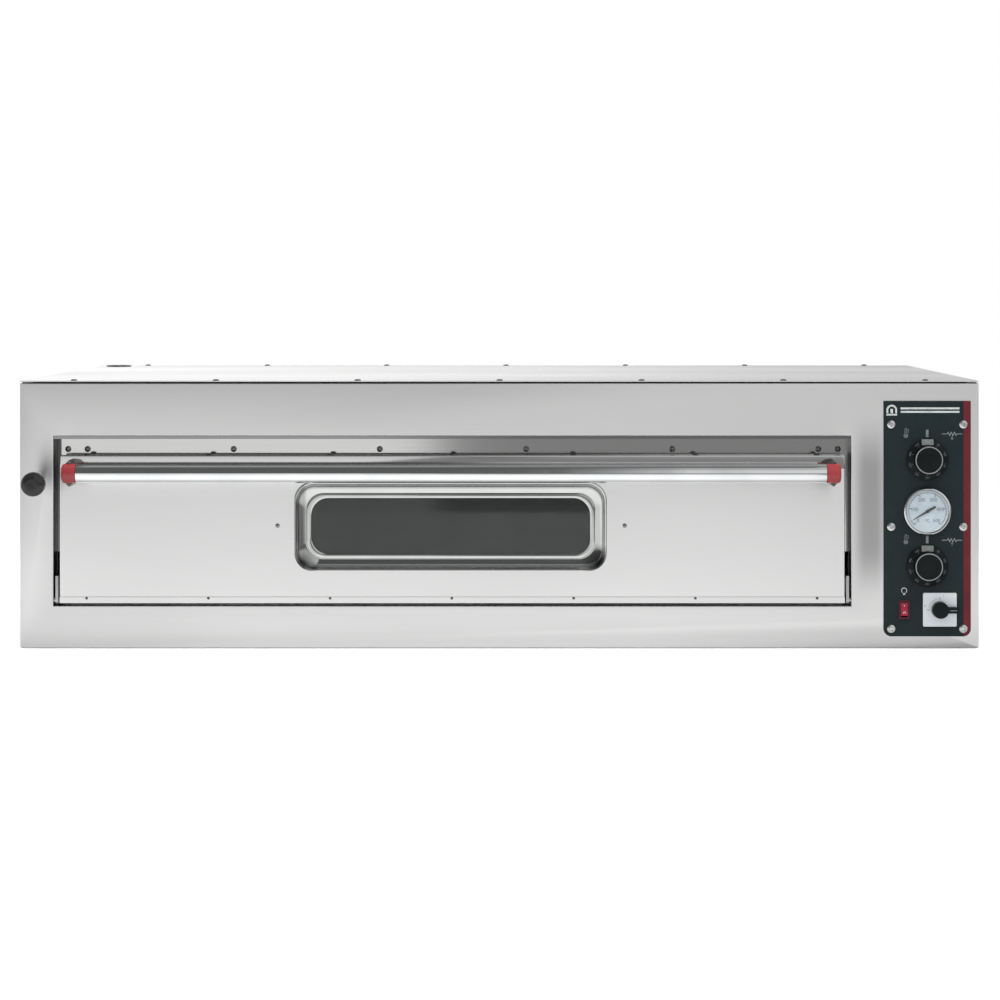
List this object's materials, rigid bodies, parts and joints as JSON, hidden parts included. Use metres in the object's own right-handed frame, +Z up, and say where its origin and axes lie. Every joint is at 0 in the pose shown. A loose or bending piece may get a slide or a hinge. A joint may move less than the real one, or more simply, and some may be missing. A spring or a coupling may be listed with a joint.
{
  "type": "deck oven",
  "caption": "Single-deck electric pizza oven: wide low steel casing, drop-down door with window and bar handle, stone hearth, control panel at the right.",
  "frame": {"origin": "centre of the base's flat underside", "axes": "+X to the right seen from the front, +Y towards the back, +Z up"},
  "size_m": [1.37, 1.009, 0.3844],
  "materials": {
    "stainless_sheet": "brushed along the width, satin",
    "polished_steel": "polished",
    "galvanised_steel": "zinc coated, faint spangle",
    "aluminised_steel": "matt, heat tinted",
    "fireclay": "rough, unglazed",
    "element_sheath": "dark oxidised tube",
    "mineral_wool": "matt fibre blanket",
    "oven_glass": "clear, tinted by the dark chamber",
    "red_plastic": "glossy",
    "black_plastic": "fine satin",
    "fascia_black": "satin film on sheet, dark red band at the right edge",
    "pale_plastic": "satin",
    "spring_steel": "bright wire"
  },
  "bodies": {
    "oven_body": {"left_side_panel": "stainless_sheet", "right_side_panel": "stainless_sheet", "top_cover": "stainless_sheet", "front_panel": "stainless_sheet", "mouth_frame": "stainless_sheet", "pyrometer_case": "polished_steel", "base_pan": "galvanised_steel", "rear_panel": "galvanised_steel", "control_bay_partition": "galvanised_steel", "lamp_housing": "galvanised_steel", "upper_thermostat": "galvanised_steel", "lower_thermostat": "galvanised_steel", "chamber_liner": "aluminised_steel", "hearth_tray": "aluminised_steel", "steam_duct": "aluminised_steel", "hearth_stone_left": "fireclay", "hearth_stone_middle": "fireclay", "hearth_stone_right": "fireclay", "upper_heating_element_1": "element_sheath", "upper_heating_element_2": "element_sheath", "lower_heating_element_1": "element_sheath", "lower_heating_element_2": "element_sheath", "ceiling_insulation": "mineral_wool", "floor_insulation": "mineral_wool", "left_insulation": "mineral_wool", "right_insulation": "mineral_wool", "rear_insulation": "mineral_wool", "lamp_glass": "oven_glass", "lamp_bulb": "oven_glass", "pyrometer_glass": "oven_glass", "main_switch_body": "black_plastic", "light_switch_frame": "black_plastic", "contactor": "black_plastic", "cable_gland": "black_plastic", "control_fascia": "fascia_black", "main_switch_plate": "pale_plastic", "terminal_block": "pale_plastic", "door_spring_left": "spring_steel", "door_spring_right": "spring_steel"},
    "door": {"door_outer_skin": "stainless_sheet", "door_inner_pan": "stainless_sheet", "door_insulation": "mineral_wool", "window_bezel": "polished_steel", "window_glass_outer": "oven_glass", "window_glass_inner": "oven_glass", "handle_bar": "polished_steel", "handle_cap_left": "red_plastic", "handle_cap_right": "red_plastic", "handle_bracket_left": "black_plastic", "handle_bracket_right": "black_plastic", "hinge_arm_left": "galvanised_steel", "hinge_arm_right": "galvanised_steel"},
    "upper_heat_knob": {"upper_heat_knob": "black_plastic"},
    "lower_heat_knob": {"lower_heat_knob": "black_plastic"},
    "main_switch_handle": {"main_switch_handle": "black_plastic"},
    "light_switch_rocker": {"light_switch_rocker": "red_plastic"},
    "pyrometer_needle": {"pyrometer_needle": "black_plastic"},
    "steam_damper": {"damper_knob": "black_plastic", "damper_rod": "galvanised_steel", "damper_plate": "galvanised_steel"}
  },
  "joints": [
    {"name": "door_hinge", "type": "hinge", "parent": "oven_body", "child": "door", "pos_m": [0, -0.4435, 0.0685], "axis": [1, 0, 0], "range_deg": [0, 90], "deforming": ["door_spring_left", "door_spring_right"]},
    {"name": "upper_heat_knob_turn", "type": "hinge", "parent": "oven_body", "child": "upper_heat_knob", "pos_m": [0.611, -0.45, 0.2697], "axis": [0, 1, 0], "range_deg": [0, 300]},
    {"name": "lower_heat_knob_turn", "type": "hinge", "parent": "oven_body", "child": "lower_heat_knob", "pos_m": [0.611, -0.45, 0.1179], "axis": [0, 1, 0], "range_deg": [0, 300]},
    {"name": "main_switch_turn", "type": "hinge", "parent": "oven_body", "child": "main_switch_handle", "pos_m": [0.6287, -0.45, 0.0553], "axis": [0, 1, 0], "range_deg": [-90, 0]},
    {"name": "light_switch_rock", "type": "hinge", "parent": "oven_body", "child": "light_switch_rocker", "pos_m": [0.578, -0.4518, 0.0553], "axis": [1, 0, 0], "range_deg": [0, 20]},
    {"name": "pyrometer_needle_turn", "type": "hinge", "parent": "oven_body", "child": "pyrometer_needle", "pos_m": [0.611, -0.45, 0.1957], "axis": [0, 1, 0], "range_deg": [0, 240]},
    {"name": "steam_damper_slide", "type": "slide", "parent": "oven_body", "child": "steam_damper", "axis": [0, 1, 0], "range_m": [0, 0.038]}
  ]
}
